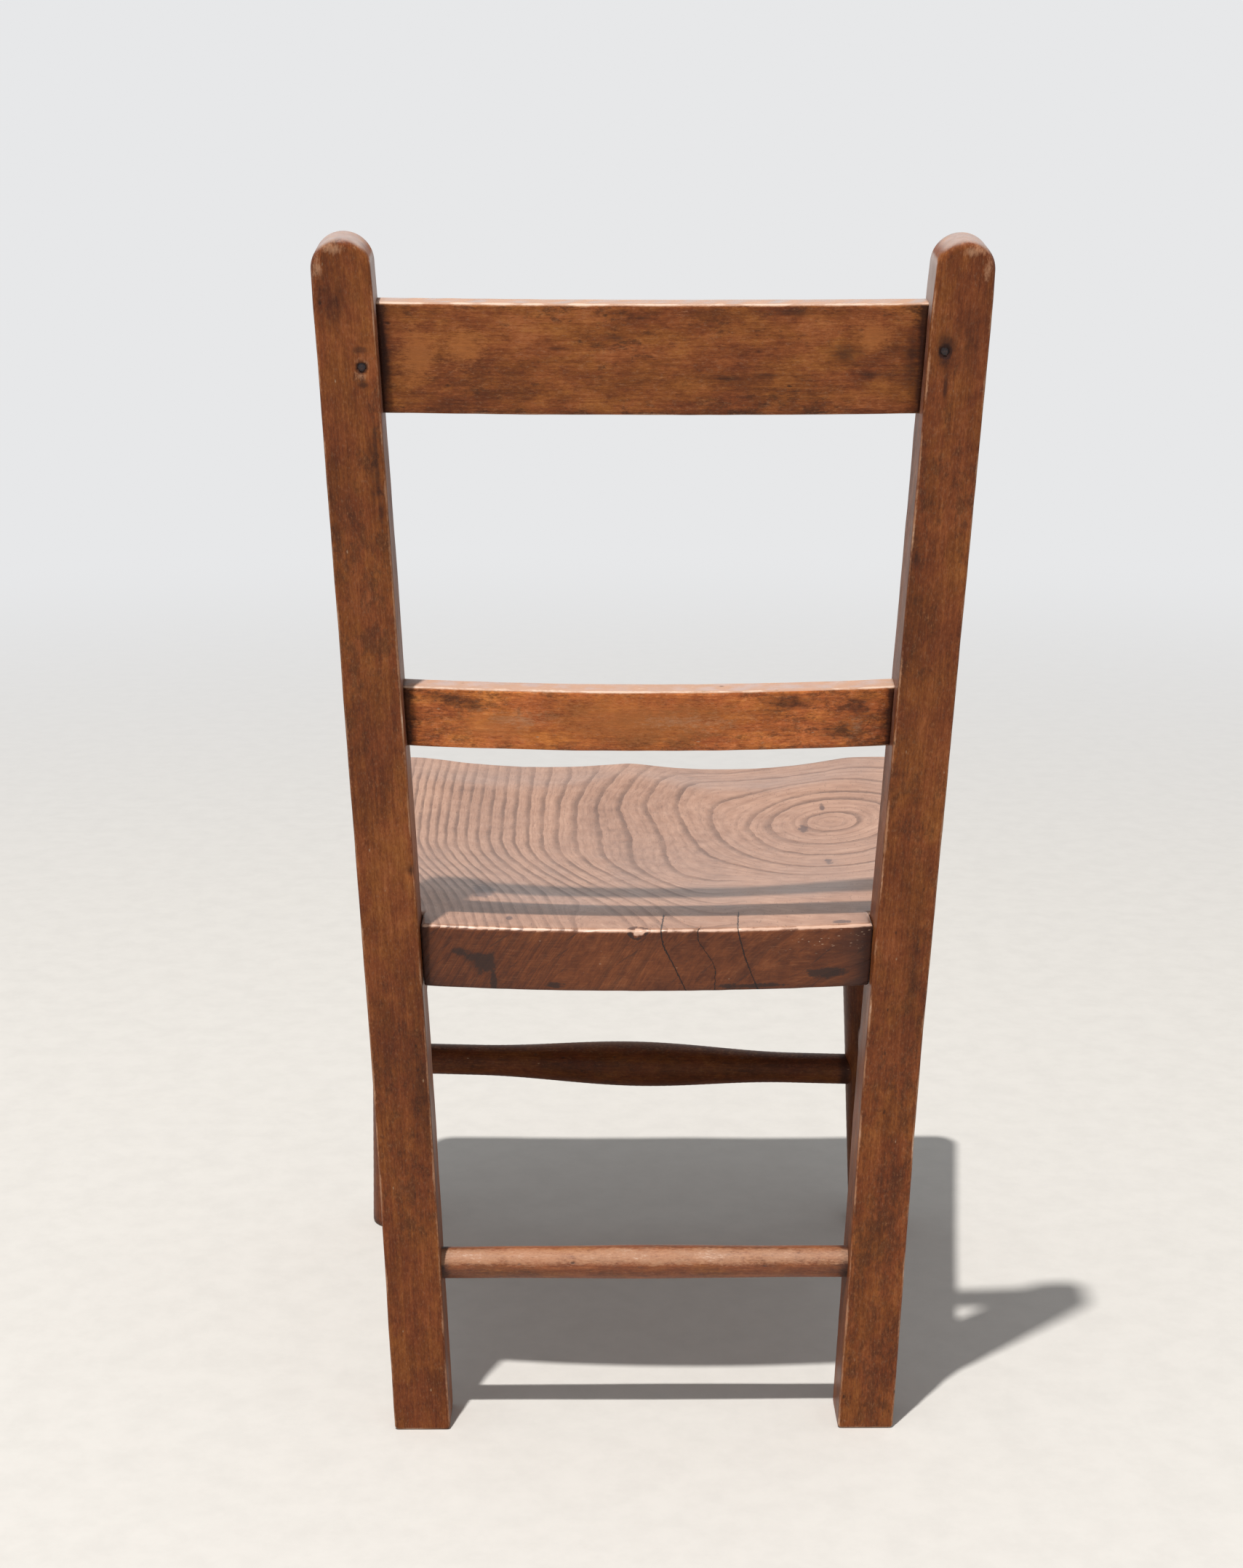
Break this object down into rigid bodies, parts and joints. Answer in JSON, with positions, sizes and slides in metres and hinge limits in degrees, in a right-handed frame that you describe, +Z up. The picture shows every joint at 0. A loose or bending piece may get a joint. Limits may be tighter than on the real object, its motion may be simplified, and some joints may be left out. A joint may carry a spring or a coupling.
{
  "type": "school chair",
  "caption": "Wooden child's school chair with splayed back posts, two bowed back rails, a saddled slab seat and turned legs and stretchers.",
  "frame": {"origin": "on the floor, at the centre of the chair's bounding box", "axes": "+Z up, -Y towards the front of the chair, +X towards the sitter's left"},
  "size_m": [0.3322, 0.3662, 0.6],
  "materials": {
    "stained_beech": "old red-brown stain and varnish, worn on the arrises",
    "elm_seat": "old varnish, polished by use, open ring-porous grain",
    "old_iron": "dark, oxidised"
  },
  "bodies": {
    "root": {"back_post_left": "stained_beech", "back_post_right": "stained_beech", "top_rail": "stained_beech", "mid_rail": "stained_beech", "seat": "elm_seat", "front_leg_left": "stained_beech", "front_leg_right": "stained_beech", "front_stretcher": "stained_beech", "rear_stretcher": "stained_beech", "side_stretcher_left": "stained_beech", "side_stretcher_right": "stained_beech", "rail_nails": "old_iron", "seat_screws": "old_iron", "screw_plugs": "stained_beech"}
  },
  "joints": []
}
